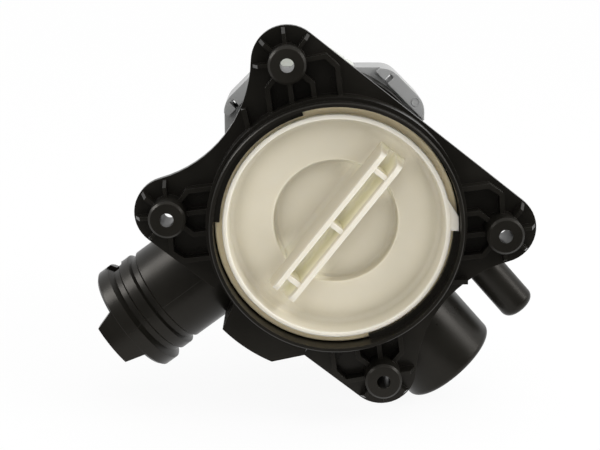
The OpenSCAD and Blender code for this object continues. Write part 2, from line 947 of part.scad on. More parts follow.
module cap_lip_seal() {
    lip_bevel = 0.4;
    color([0.72, 0.65, 0.5])
        turned()
            polygon([[skirt_r + seat_gap, seal_depth + seat_gap], [seal_r - lip_bevel, seal_depth + seat_gap],
                [seal_r, seal_depth + seat_gap + lip_bevel], [seal_r - lip_bevel, rail_depth - seat_gap],
                [skirt_r + seat_gap, rail_depth - seat_gap]]);
}

module cap_o_ring() {
    color([0.15, 0.15, 0.15])
        translate([0, o_ring_depth, 0])
            turned()
                translate([skirt_r - cap_groove_t + o_ring_r + seat_gap, 0])
                    circle(r = o_ring_r, $fn = 32);
}

// Cover

// Outline of the cover: a square with cut and rounded corners
module cover_outline(w, cut) {
    h = w / 2;
    round = 9;
    setback = round * tan(22.5);
    polygon([for (q = [0:90:270], end = [0, 1])
        let (c = [h - round, h - cut - setback], m = [h - cut - setback, h - round])
        for (p = arc(end == 0 ? c : m, round, end * 45, end * 45 + 45, 6))
            [p.x * cos(q) - p.y * sin(q), p.x * sin(q) + p.y * cos(q)]]);
}

// Raised towers at the two upper corners: a pad up to the slot and a lip along the rim
module towers() {
    front = cover_depth - tower_h;
    for (q = tower_angles)
        rotate([0, -q, 0])
            intersection() {
                slab(front, cover_depth + 1)
                    rotate(45)
                        difference() {
                            cover_outline(cover_w, cover_cut);
                            rotate(-45)
                                translate([0, slot_at])
                                    square([cover_w / 2 + tower_foot - lip_t, cover_w]);
                        }
                translate([volute_r + tower_foot, 0, -tower_from])
                    cube([cover_w, 2 * cover_depth, tower_from + tower_to]);
            }
}

module tower_slots() {
    for (q = tower_angles)
        rotate([0, -q, 0])
            translate([volute_r + tower_foot, cover_depth - tower_h - eps, slot_at])
                cube([slot_len, cover_t + tower_h + 2 * eps + skirt_len, slot_w]);
}

module cover_skirt() {
    skirt_low = -18;
    corner_share = 0.6;
    difference() {
        slab(plate_end - eps, plate_end + skirt_len)
            cover_outline(tray_w, cover_cut);
        slab(plate_end - 2 * eps, plate_end + skirt_len + eps)
            cover_outline(tray_w - 2 * skirt_t, cover_cut - corner_share * skirt_t);
        translate([-tray_w, plate_end, skirt_low - 2 * tray_w])
            cube([2 * tray_w, skirt_len + 2 * eps, 2 * tray_w]);
    }
}

module pump_cover() {
    recess_r = volute_in - eps;
    color(grey)
        at_pump()
            difference() {
                union() {
                    slab(cover_depth, tray_front)
                        cover_outline(cover_w, cover_cut);
                    slab(tray_front, plate_end)
                        cover_outline(tray_w, cover_cut);
                    towers();
                    cover_skirt();
                    disc(hub_r, plate_end - eps, hub_end);
                }
                tower_slots();
                disc(recess_r, cover_depth - eps, recess_floor);
                translate([0, cover_depth, 0])
                    turned()
                        translate([cover_groove_r, 0])
                            square([cover_groove_w, 2 * cover_groove_t], center = true);
                disc(seal_pocket_r, recess_floor - eps, recess_floor + seal_pocket_t);
                disc(shaft_hole_r, recess_floor, hub_end);
                disc(bearing_pocket_r, hub_end - bearing_t - bearing_room, hub_end + eps);
                screw_places() {
                    disc(screw_hole_r, cover_depth - eps, plate_end + eps);
                    disc(screw_head_r + head_room, plate_end, plate_end + skirt_len + eps);
                }
                motor_posts()
                    disc(post_hole_r, plate_end - post_bite, plate_end + eps);
            }
}

module cover_o_ring() {
    color([0.14, 0.14, 0.14])
        at_pump()
            turned()
                translate([cover_groove_r, cover_depth + cover_groove_t / 2])
                    circle(r = cover_ring_r, $fn = 32);
}

// Screw about the Y axis, head towards the rear; head_y is the seat of the head
module screw(head_y, length) {
    cross_w = 0.8;
    cross_r = screw_head_r - 1;
    disc(screw_r, head_y - length, head_y + eps);
    difference() {
        disc(screw_head_r, head_y, head_y + screw_head_t);
        for (a = [0, 90])
            rotate([0, a, 0])
                translate([-cross_r, head_y + screw_head_t / 2, -cross_w / 2])
                    cube([2 * cross_r, screw_head_t, cross_w]);
    }
}

module cover_screws() {
    color([0.7, 0.7, 0.72])
        at_pump()
            screw_places()
                screw(plate_end, cover_t + pilot_len - 1);
}

// Impeller and rotor

module impeller() {
    blade_h = impeller_end - impeller_front - eps;
    color([0.2, 0.2, 0.21])
        at_pump()
            difference() {
                union() {
                    disc(impeller_hub_r, impeller_front, impeller_end);
                    disc(impeller_r, impeller_end - shroud_t, impeller_end);
                    for (i = [0:blade_count - 1])
                        rotate([0, i * 360 / blade_count, 0])
                            translate([impeller_hub_r - 1, impeller_front, -blade_t / 2])
                                cube([impeller_r - impeller_hub_r, blade_h, blade_t]);
                }
                disc(shaft_r + run_gap, impeller_front - eps, impeller_end + eps);
                difference() {
                    disc(cavity_r, dog_front - move_gap, impeller_end + eps);
                    intersection() {
                        ring(cavity_r + eps, dog_r + move_gap, 0, impeller_end + eps);
                        slab(0, impeller_end + 2 * eps)
                            wedge(3 * cavity_r, 180 - dog_half_angle, 180 + dog_half_angle);
                    }
                }
            }
}

module drive_dog() {
    color([0.85, 0.83, 0.76])
        at_pump()
            difference() {
                union() {
                    disc(dog_r, dog_front, impeller_end);
                    intersection() {
                        disc(dog_reach, dog_front, impeller_end - dog_inset);
                        slab(0, impeller_end)
                            wedge(3 * dog_reach, -dog_half_angle, dog_half_angle);
                    }
                }
                disc(shaft_r + press_gap, dog_front - eps, impeller_end + eps);
            }
}

module rotor_shaft() {
    color([0.75, 0.76, 0.78])
        at_pump()
            disc(shaft_r, shaft_front, can_floor - bearing_room);
}

module rotor_magnet() {
    color([0.22, 0.22, 0.24])
        at_pump()
            ring(magnet_r, shaft_r + press_gap, magnet_front, magnet_end);
}

module thrust_washers() {
    color([0.93, 0.92, 0.88])
        at_pump()
            for (y = [magnet_front - washer_t - washer_gap, magnet_end + washer_gap])
                ring(washer_r, shaft_r + press_gap, y, y + washer_t);
}

module front_bearing() {
    color([0.25, 0.25, 0.26])
        at_pump()
            ring(bearing_r, shaft_r + run_gap, hub_end - bearing_t, hub_end);
}

module rear_bearing() {
    color([0.25, 0.25, 0.26])
        at_pump()
            ring(rear_bearing_r, shaft_r + run_gap, rear_bearing_front, rear_bearing_front + rear_bearing_t);
}

module front_bearing_mount() {
    color([0.12, 0.12, 0.12])
        at_pump()
            ring(bearing_pocket_r - seat_gap, bearing_r + seat_gap, hub_end - bearing_t, hub_end);
}

module rear_bearing_mount() {
    color([0.12, 0.12, 0.12])
        at_pump()
            ring(rear_pocket_r - seat_gap, rear_bearing_r + seat_gap, rear_bearing_front,
                rear_bearing_front + rear_bearing_t);
}

module shaft_seal() {
    color([0.12, 0.12, 0.12])
        at_pump()
            ring(seal_pocket_r - seat_gap, shaft_r + run_gap, recess_floor,
                recess_floor + seal_pocket_t - seat_gap);
}

module rotor_can() {
    front_r = hub_r + seat_gap;
    step_t = 1.5;
    color([0.16, 0.16, 0.16])
        at_pump()
            difference() {
                union() {
                    disc(front_r + can_wall, plate_end + seat_gap, hub_end + step_t);
                    disc(can_out, plate_end + step_t, can_end);
                }
                disc(front_r, plate_end, hub_end + seat_gap);
                disc(can_in, hub_end - eps, rear_bearing_front - bearing_room);
                disc(rear_pocket_r, rear_bearing_front - 2 * bearing_room, can_floor);
            }
}

// Motor

// Lamination outline about the pump axis: two poles, two legs and the yoke
module core_outline() {
    leg_out = leg_at + leg_w / 2;
    bottom = pole_bottom - leg_len - yoke_h;
    difference() {
        union() {
            translate([-pole_half, pole_bottom])
                square([2 * pole_half, pole_top - pole_bottom]);
            translate([-leg_out, bottom])
                square([2 * leg_out, yoke_h + leg_len + eps]);
        }
        translate([-leg_at + leg_w / 2, bottom + yoke_h])
            square([2 * leg_at - leg_w, leg_len]);
        circle(r = core_bore);
        translate([-pole_slot_top / 2, 0])
            square([pole_slot_top, pole_top + eps]);
        translate([-pole_slot_bottom / 2, pole_bottom - eps])
            square([pole_slot_bottom, -pole_bottom]);
    }
}

module stator_core() {
    color([0.5, 0.51, 0.53])
        at_pump()
            slab(core_mid - stack_t / 2, core_mid + stack_t / 2)
                core_outline();
}

// Box about a stator leg: width in X, depth in Y and a height range
module leg_box(side, w, d, z0, z1) {
    translate([side * leg_at - w / 2, core_mid - d / 2, z0])
        cube([w, d, z1 - z0]);
}

module coil_bobbin(side) {
    hole_w = leg_w + 2 * seat_gap;
    hole_t = stack_t + 2 * seat_gap;
    color([0.88, 0.88, 0.84])
        at_pump()
            difference() {
                union() {
                    leg_box(side, hole_w + 2 * bobbin_wall, hole_t + 2 * bobbin_wall, bobbin_bottom,
                        bobbin_top);
                    leg_box(side, bobbin_w, bobbin_d, bobbin_bottom, bobbin_bottom + bobbin_flange_t);
                    leg_box(side, bobbin_w, bobbin_d, bobbin_top - bobbin_flange_t, bobbin_top);
                }
                leg_box(side, hole_w, hole_t, bobbin_bottom - eps, bobbin_top + eps);
            }
}

module coil_winding(side) {
    hole_w = leg_w + 4 * seat_gap + 2 * bobbin_wall;
    hole_t = stack_t + 4 * seat_gap + 2 * bobbin_wall;
    z0 = bobbin_bottom + bobbin_flange_t + seat_gap;
    z1 = bobbin_top - bobbin_flange_t - seat_gap;
    color([0.62, 0.36, 0.18])
        at_pump()
            difference() {
                leg_box(side, bobbin_w - 2 * winding_inset, bobbin_d - 2 * winding_inset, z0, z1);
                leg_box(side, hole_w, hole_t, z0 - eps, z1 + eps);
            }
}

// Outline of the motor housing about the pump axis
module motor_outline(inset) {
    w = motor_w / 2 - inset;
    top = motor_top - inset;
    bottom = motor_bottom + inset;
    r = motor_corner - inset;
    polygon(concat(arc([w - r, top - r], r, 0, 90, 6), arc([-w + r, top - r], r, 90, 180, 6),
        arc([-w + r, bottom + r], r, 180, 270, 6), arc([w - r, bottom + r], r, 270, 360, 6)));
}

// Carries its children to the four motor screws, about the pump axis
module motor_posts() {
    for (x = [-post_x, post_x], z = post_z)
        translate([x, 0, z])
            children();
}

module motor_housing() {
    fin_t = 1.6;
    fin_step = 8;
    fin_stand = 0.4;
    fin_inset = 4;
    color(grey)
        at_pump()
            difference() {
                union() {
                    difference() {
                        slab(motor_front + seat_gap, motor_end)
                            motor_outline(0);
                        slab(motor_front + motor_wall, motor_end + eps)
                            motor_outline(motor_wall);
                    }
                    motor_posts()
                        disc(post_r, motor_front + seat_gap, motor_end);
                    for (side = [-1, 1], i = [-1:3])
                        translate([side * (motor_w / 2 + fin_stand) - fin_t / 2,
                            motor_front + skirt_len + fin_inset, -(i + 0.5) * fin_step])
                            cube([fin_t, motor_len - skirt_len - 2 * fin_inset, fin_t]);
                }
                disc(hub_r + can_wall + move_gap, motor_front - eps, motor_front + 2 * motor_wall);
                screw_places()
                    disc(screw_head_r + head_room, motor_front - eps, motor_front + 2 * motor_wall);
                motor_posts()
                    disc(motor_hole_r, motor_front - eps, motor_end + eps);
            }
}

module motor_rear_cover() {
    rib_h = 1.6;
    rib_step = 10;
    rib_inset = 8;
    color(grey)
        at_pump()
            difference() {
                union() {
                    slab(motor_end, motor_end + lid_t)
                        motor_outline(0);
                    for (i = [-2:2])
                        translate([i * rib_step - rib_t / 2, motor_end + lid_t - eps,
                            motor_bottom + rib_inset])
                            cube([rib_t, rib_h + eps, motor_top - motor_bottom - 2 * rib_inset]);
                }
                motor_posts()
                    disc(motor_hole_r, motor_end - eps, motor_end + lid_t + eps);
            }
}

module motor_screws() {
    color([0.7, 0.7, 0.72])
        at_pump()
            motor_posts()
                screw(motor_end + lid_t, motor_len + lid_t + post_bite - 1);
}

// Outline of the terminal block, seen from the service side
module block_outline(inset) {
    b = block_w / 2 - inset;
    polygon([[-b, inset], [b, inset], [b - block_slope + inset / 2, block_h - inset], [-b, block_h - inset]]);
}

// The block's mouth opens to the rear
module terminal_block() {
    color([0.84, 0.85, 0.82])
        at_pump()
            translate([block_x, 0, block_base])
                difference() {
                    slab(block_front, block_end)
                        block_outline(0);
                    slab(block_front + block_floor_t, block_end + eps)
                        block_outline(block_wall);
                    blades(seat_gap);
                }
}

// Row of blades inside the block, or with a gap the slots that hold them
module blades(gap) {
    for (i = [-1:1])
        translate([i * blade_step + blade_x - blade_w / 2 - gap, blade_front - gap,
            (block_h - blade_thick) / 2 - gap])
            cube([blade_w + 2 * gap, blade_end - blade_front + 2 * gap, blade_thick + 2 * gap]);
}

module terminal_blades() {
    color([0.8, 0.74, 0.5])
        at_pump()
            translate([block_x, 0, block_base])
                blades(0);
}

// Non-return valve in the outlet socket

module valve_seat() {
    ear_t = ear_out - ear_in;
    color([0.3, 0.3, 0.31])
        outlet_frame()
            difference() {
                union() {
                    translate([0, 0, shoulder])
                        difference() {
                            cylinder(r = socket_r - seat_gap, h = seat_t);
                            translate([0, 0, -eps])
                                cylinder(r = flap_r - seat_lap, h = seat_t + 2 * eps);
                        }
                    for (side = [-1, 1])
                        translate([pin_at - ear_len / 2, side * (ear_in + ear_out) / 2 - ear_t / 2,
                            shoulder + 2 * eps])
                            cube([ear_len, ear_t, pin_along - shoulder + 2 * eps]);
                }
                translate([pin_at, ear_out + eps, pin_along])
                    rotate([90, 0, 0])
                        cylinder(r = pin_r + press_gap, h = 2 * ear_out + 2 * eps);
            }
}

module valve_flap() {
    low = shoulder + seat_t + move_gap;
    arm_w = 6;
    color([0.2, 0.2, 0.2])
        outlet_frame()
            difference() {
                union() {
                    translate([0, 0, low])
                        cylinder(r = flap_r, h = flap_t);
                    translate([0, -arm_w / 2, low])
                        cube([pin_at, arm_w, flap_t]);
                    translate([pin_at, ear_in - move_gap, pin_along])
                        rotate([90, 0, 0])
                            cylinder(r = knuckle_r, h = 2 * (ear_in - move_gap));
                }
                translate([pin_at, ear_in, pin_along])
                    rotate([90, 0, 0])
                        cylinder(r = pin_r + run_gap, h = 2 * ear_in);
            }
}

module valve_pin() {
    color([0.75, 0.76, 0.78])
        outlet_frame()
            translate([pin_at, ear_out + pin_end, pin_along])
                rotate([90, 0, 0])
                    cylinder(r = pin_r, h = 2 * (ear_out + pin_end));
}

module outlet_seal() {
    color([0.13, 0.13, 0.13])
        outlet_frame()
            translate([0, 0, o_seal_at])
                rotate_extrude()
                    translate([socket_r - o_seal_r / 2, 0])
                        circle(r = o_seal_r, $fn = 32);
}

pump_housing();
filter_cap();
filter_strainer();
cap_lip_seal();
cap_o_ring();
pump_cover();
cover_o_ring();
cover_screws();
impeller();
drive_dog();
rotor_shaft();
rotor_magnet();
thrust_washers();
front_bearing();
rear_bearing();
front_bearing_mount();
rear_bearing_mount();
shaft_seal();
rotor_can();
stator_core();
coil_bobbin(-1);  // left_coil_bobbin
coil_bobbin(1);  // right_coil_bobbin
coil_winding(-1);  // left_coil_winding
coil_winding(1);  // right_coil_winding
motor_housing();
motor_rear_cover();
motor_screws();
terminal_block();
terminal_blades();
valve_seat();
valve_flap();
valve_pin();
outlet_seal();
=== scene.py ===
import json
import math

import bmesh
import bpy
from mathutils import Matrix, Vector


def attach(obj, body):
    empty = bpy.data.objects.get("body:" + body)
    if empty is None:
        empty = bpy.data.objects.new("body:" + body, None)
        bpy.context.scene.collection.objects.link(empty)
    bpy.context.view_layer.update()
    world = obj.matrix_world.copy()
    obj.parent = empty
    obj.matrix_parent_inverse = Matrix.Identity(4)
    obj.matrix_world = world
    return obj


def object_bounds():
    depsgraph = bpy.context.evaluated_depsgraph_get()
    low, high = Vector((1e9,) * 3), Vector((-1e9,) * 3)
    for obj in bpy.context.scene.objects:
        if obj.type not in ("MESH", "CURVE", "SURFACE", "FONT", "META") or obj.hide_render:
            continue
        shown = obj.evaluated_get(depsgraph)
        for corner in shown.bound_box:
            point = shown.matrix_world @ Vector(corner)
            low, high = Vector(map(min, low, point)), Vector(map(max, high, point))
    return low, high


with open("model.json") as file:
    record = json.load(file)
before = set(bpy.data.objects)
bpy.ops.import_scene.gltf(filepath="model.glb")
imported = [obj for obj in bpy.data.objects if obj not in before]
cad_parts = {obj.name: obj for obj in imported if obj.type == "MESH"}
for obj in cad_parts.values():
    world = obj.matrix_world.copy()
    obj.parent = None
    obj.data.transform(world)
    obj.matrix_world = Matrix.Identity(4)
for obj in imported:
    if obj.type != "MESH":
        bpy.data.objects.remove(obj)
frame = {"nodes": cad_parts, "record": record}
cad_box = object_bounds()
nodes = frame["nodes"]
mounts = {m["name"]: m for m in frame["record"]["mounts"]}

MM = 0.001
SERVICE_SIDE = Vector((0, -1, 0))
WHITE = (1, 1, 1, 1)

# Camera: the place and lens fitted to the photograph
IMAGE_W = 600
FOCAL_PX = 1320.06
SENSOR_MM = 36
CLIP_START = 0.01
EYE = Vector((-0.0150, -0.4407, 0.1077))
LOOK = Vector((0.0052, 0.972, -0.2347)).normalized()

# Sizes shared with the solids
PLATE_FRONT = 12 * MM
FLANGE_TURN = math.radians(52)
HOLE_LONG = 95.7 / 2 * MM
HOLE_SHORT = 67.3 / 2 * MM

# Range that holds most values of a noise
NOISE_MIDDLE = (0.3, 0.7)
BEVEL_SAMPLES = 6

# Plastic and rubber: scales are in features for each metre
CLOUD_SCALE, CLOUD_DETAIL = 70.0, 4.0
# Streaks and the edge reach below set where the painted edge highlight lies
STREAK_SCALE, STREAK_DETAIL = 35.0, 5.0
STREAK_STRETCH = (1.0, 6.0, 1.0)
STREAK_MIDDLE = (0.35, 0.65)
STREAK_SHARE = (0.1, 0.9)
GRAIN_DETAIL = 2.0
GRAIN_STRENGTH = 0.6
PLASTIC_EDGE_REACH = 0.25
MILK_RADIUS = (1.0, 1.0, 0.95)

# Painted glow in gaps and painted shade in corners of milky plastic: how far the test for near walls looks,
# and its results in gaps and corners
OPEN_REACH = 8 * MM
OPEN_SAMPLES = 8
PAINTED_GLOW_OPEN = (0.4, 0.62)
PAINTED_SHADE_OPEN = (0.60, 0.94)
# Distances from the grip's middle at which the painted corner shade begins, and depths where the lighter
# painted tone of the foremost faces ends
GRIP_SIDES = (5 * MM, 11 * MM)
PAINTED_LIGHT_DEPTHS = (1.2 * MM, 2.4 * MM)

# Metal
DRAWN_SCALE, DRAWN_DETAIL = 900.0, 4.0
DRAWN_DEPTH = 0.004 * MM
DRAWN_STRENGTH = 0.5
TARNISH_SCALE, TARNISH_DETAIL = 120.0, 4.0
TARNISH_MIDDLE = (0.35, 0.75)
METAL_EDGE = 0.25 * MM
METAL_EDGE_REACH = 0.3
METAL_EDGE_GAIN = 1.2
BAND_LOW = (0.0, 0.6)
BAND_SHADE = (0.55, 0.0)
BAND_DARK = 0.35
BAND_STRENGTH = 0.8

# Moulding marks: thin ridges and rings that the mould left on the plastic
LINE_W = 0.35 * MM
LINE_H = 0.10 * MM
MARK_R = 2.1 * MM
MARK_WIRE = 0.09 * MM
RING_TURNS = 40
RING_SIDES = 6
# Places of the ejector marks in mm, from a screw hole along the flange's short and long axes
MARK_PLACES = [(-12.6, -3.2), (5.0, -17.5)]
# Round mark on the front of the cover's right tower
COVER_MARK = Vector((31.65, 58.6, 35.2)) * MM
COVER_MARK_R = 1.5 * MM
COVER_MARK_WIRE = 0.2 * MM
# Outlet socket in mm: distance before the rim and radius of each step of its outside
OUTLET_STEPS = [(1.0, 21.5), (5.6, 21.5), (7.0, 19.2), (9.1, 19.2), (9.8, 20.0), (13.6, 20.0), (14.3, 18.5),
                (16.4, 18.5), (17.1, 19.3), (44.0, 19.3)]

# Floor
FLOOR_DROP = 0.5 * MM
FLOOR_HALF = 3.0
FLOOR_FRONT = -0.06
FLOOR_COLOUR = (0.95, 0.95, 0.95, 1)
FLOOR_GLOW = 0.92

# Surroundings: their light, which is weaker from the front, and the directions between which it changes
AMBIENT = 1.0
AMBIENT_FRONT = 0.84
AMBIENT_TURN = (-0.3, -0.8)
# Their dark part, for reflections only: its share, its share on the left, and where it begins and ends
DARK_SHARE = 0.94
DARK_LEFT = 0.9
DARK_FRONT = (-0.05, -0.35)
DARK_LOW = (0.7, 0.2)
DARK_ACROSS = (-0.35, 0.05)

# Lamps: name, place, watts, whether it lights surfaces, whether it shows as sheen
LAMP_SIZE = 0.3
LAMP_TARGET = Vector((0, 0.02, 0))
LAMPS = [
    ("top_light", (-0.05, -0.45, 0.60), 0.3, True, True),
    ("left_light", (-0.60, -0.10, 0.40), 2.8, False, True),
    ("right_light", (0.62, -0.22, 0.33), 2.3, True, True),
    ("front_light", (-0.10, -0.62, -0.22), 0.5, True, False),
]


def make_camera():
    right = LOOK.cross(Vector((0, 0, 1))).normalized()
    up = right.cross(LOOK)
    camera = bpy.data.objects.new("camera", bpy.data.cameras.new("camera"))
    camera.data.sensor_fit = "HORIZONTAL"
    camera.data.sensor_width = SENSOR_MM
    camera.data.lens = FOCAL_PX / IMAGE_W * SENSOR_MM
    camera.data.clip_start = CLIP_START
    turn = Matrix((right, up, -LOOK)).transposed()
    camera.matrix_world = Matrix.Translation(EYE) @ turn.to_4x4()
    bpy.context.scene.collection.objects.link(camera)
    bpy.context.scene.camera = camera


class Nodes:
    """Short calls that add nodes to a tree."""

    def __init__(self, tree):
        self.tree = tree

    def plug(self, value, socket):
        """Sets a socket to a value, or links an output to it."""
        if isinstance(value, bpy.types.NodeSocket):
            self.tree.links.new(value, socket)
        else:
            socket.default_value = value

    def node(self, kind, inputs=None, **settings):
        made = self.tree.nodes.new(kind)
        for key, value in settings.items():
            setattr(made, key, value)
        for key, value in (inputs or {}).items():
            self.plug(value, made.inputs[key])
        return made

    def math(self, operation, *values):
        return self.node("ShaderNodeMath", dict(enumerate(values)), operation=operation).outputs[0]

    def dot(self, a, b):
        return self.node("ShaderNodeVectorMath", {0: a, 1: b}, operation="DOT_PRODUCT").outputs["Value"]

    def spread(self, value, source, target=(0.0, 1.0)):
        """Carries the range source to the range target, and stops at its ends."""
        inputs = {"Value": value, "From Min": source[0], "From Max": source[1],
                  "To Min": target[0], "To Max": target[1]}
        return self.node("ShaderNodeMapRange", inputs).outputs[0]

    def ray(self, name):
        return self.node("ShaderNodeLightPath").outputs[f"Is {name} Ray"]

    def seen(self):
        """1 for rays that show the background itself: camera, glossy and transmission rays."""
        shown = self.math("MAXIMUM", self.ray("Camera"), self.ray("Glossy"))
        return self.math("MAXIMUM", shown, self.ray("Transmission"))


class Shader(Nodes):
    """A material with short calls for its nodes."""

    def __init__(self, name):
        self.material = bpy.data.materials.new(name)
        self.material.use_nodes = True
        super().__init__(self.material.node_tree)
        self.bsdf = self.tree.nodes["Principled BSDF"]
        self.object_coords = self.node("ShaderNodeTexCoord").outputs["Object"]

    def set(self, socket, value):
        self.plug(value, self.bsdf.inputs[socket])

    def stretch(self, scale):
        """Object coordinates stretched by a factor for each axis."""
        return self.node("ShaderNodeMapping", {"Vector": self.object_coords, "Scale": scale}).outputs[0]

    def noise(self, scale, detail, coords=None):
        """Noise from 0 to 1; scale is in features for each metre."""
        inputs = {"Vector": coords or self.object_coords, "Scale": scale, "Detail": detail}
        return self.node("ShaderNodeTexNoise", inputs).outputs[0]

    def mix(self, factor, a, b):
        a, b = (c if isinstance(c, bpy.types.NodeSocket) else (*c, 1) for c in (a, b))
        return self.node("ShaderNodeMix", {0: factor, 6: a, 7: b}, data_type="RGBA").outputs[2]

    def edges(self, radius, reach):
        """Rounded normals, and a mask that is 1 along the edges of the shape."""
        rounded = self.node("ShaderNodeBevel", {"Radius": radius}, samples=BEVEL_SAMPLES).outputs[0]
        flat = self.node("ShaderNodeNewGeometry").outputs["Normal"]
        return rounded, self.spread(self.dot(rounded, flat), (1.0, 1.0 - reach))

    def openness(self):
        """1 on free surfaces, less where near walls shut them in."""
        inputs = {"Distance": OPEN_REACH}
        return self.node("ShaderNodeAmbientOcclusion", inputs, samples=OPEN_SAMPLES).outputs["AO"]

    def beside_grip(self):
        """0 on the cap's grip and 1 away from it, so that the painted corner shade stays off the grip."""
        across = (-math.sin(FLANGE_TURN), 0, math.cos(FLANGE_TURN))
        return self.spread(self.math("ABSOLUTE", self.dot(self.object_coords, across)), GRIP_SIDES)

    def painted_light_faces(self):
        """A mask that is 1 on the foremost faces, where a lighter tone is painted as light."""
        split = self.node("ShaderNodeSeparateXYZ", {0: self.object_coords})
        return self.spread(split.outputs["Y"], PAINTED_LIGHT_DEPTHS, (1.0, 0.0))

    def bump(self, height, distance, strength, normal):
        inputs = {"Height": height, "Distance": distance, "Strength": strength, "Normal": normal}
        return self.node("ShaderNodeBump", inputs).outputs[0]


def moulded(name, base, pale, painted_edge_highlight, rough, specular, edge=0.35 * MM, grain=2600.0, grain_depth=0.01 * MM,
            milk=0.0, depth=1.5 * MM, corner=None, painted_gap_glow=None, front=None, tint=(1.0, 1.0, 1.0)):
    """Moulded plastic or rubber: cloudy colour, spark-eroded grain and a painted highlight in streaks along
    the edges.

    milk is the share of light that enters the plastic, and depth how far it goes. corner is painted shade, a
    darker tone near walls;
    the colour for narrow gaps is a painted glow that stands for light through milky plastic; front is a
    lighter, whiter painted tone on the foremost faces.
    """
    s = Shader(name)
    cloud = s.noise(CLOUD_SCALE, CLOUD_DETAIL)
    streak = s.noise(STREAK_SCALE, STREAK_DETAIL, s.stretch(STREAK_STRETCH))
    rounded, mask = s.edges(edge, PLASTIC_EDGE_REACH)
    body = s.mix(s.spread(cloud, NOISE_MIDDLE), base, pale)
    share = s.openness() if corner or painted_gap_glow else None
    # Painted shade: a darker tone near walls, kept off the grip
    if corner:
        painted_shade_share = s.spread(share, PAINTED_SHADE_OPEN, (1.0, 0.0))
        body = s.mix(s.math("MULTIPLY", painted_shade_share, s.beside_grip()), body, corner)
    # Painted glow: a lighter tone in narrow gaps, for light passing through milky plastic
    if painted_gap_glow:
        body = s.mix(s.spread(share, PAINTED_GLOW_OPEN, (1.0, 0.0)), body, painted_gap_glow)
    # Painted light: a lighter, whiter tone on the foremost faces
    if front:
        body = s.mix(s.painted_light_faces(), body, front)
    # Painted edge highlight: a lighter tone in streaks along the edges
    painted_edge_share = s.math("MULTIPLY", mask, s.spread(streak, STREAK_MIDDLE, STREAK_SHARE))
    s.set("Base Color", s.mix(painted_edge_share, body, painted_edge_highlight))
    s.set("Roughness", s.spread(cloud, NOISE_MIDDLE, rough))
    s.set("Normal", s.bump(s.noise(grain, GRAIN_DETAIL), grain_depth, GRAIN_STRENGTH, rounded))
    s.set("Specular IOR Level", specular)
    s.set("Specular Tint", (*tint, 1))
    if milk:
        s.set("Subsurface Weight", milk)
        s.set("Subsurface Radius", MILK_RADIUS)
        s.set("Subsurface Scale", depth)
    return s.material


def metal(name, base, dark, rough, lines=(1.0, 1.0, 1.0), bands=None, band_axis="Y", band_depth=0.03 * MM):
    """Bare metal with drawn lines; bands adds ridges such as sheet edges or wire, so many for each metre."""
    s = Shader(name)
    drawn = s.noise(DRAWN_SCALE, DRAWN_DETAIL, s.stretch(lines))
    tarnish = s.noise(TARNISH_SCALE, TARNISH_DETAIL)
    rounded, mask = s.edges(METAL_EDGE, METAL_EDGE_REACH)
    colour = s.mix(s.spread(tarnish, TARNISH_MIDDLE), base, dark)
    normal = s.bump(drawn, DRAWN_DEPTH, DRAWN_STRENGTH, rounded)
    if bands:
        wave = s.node("ShaderNodeTexWave", {"Vector": s.object_coords, "Scale": bands, "Distortion": 0.0},
                      wave_type="BANDS", bands_direction=band_axis).outputs["Fac"]
        colour = s.mix(s.spread(wave, BAND_LOW, BAND_SHADE), colour, tuple(BAND_DARK * c for c in dark))
        normal = s.bump(wave, band_depth, BAND_STRENGTH, normal)
    s.set("Base Color", s.mix(mask, colour, tuple(min(1.0, METAL_EDGE_GAIN * c) for c in base)))
    s.set("Roughness", s.spread(drawn, NOISE_MIDDLE, rough))
    s.set("Normal", normal)
    s.set("Metallic", 1.0)
    return s.material


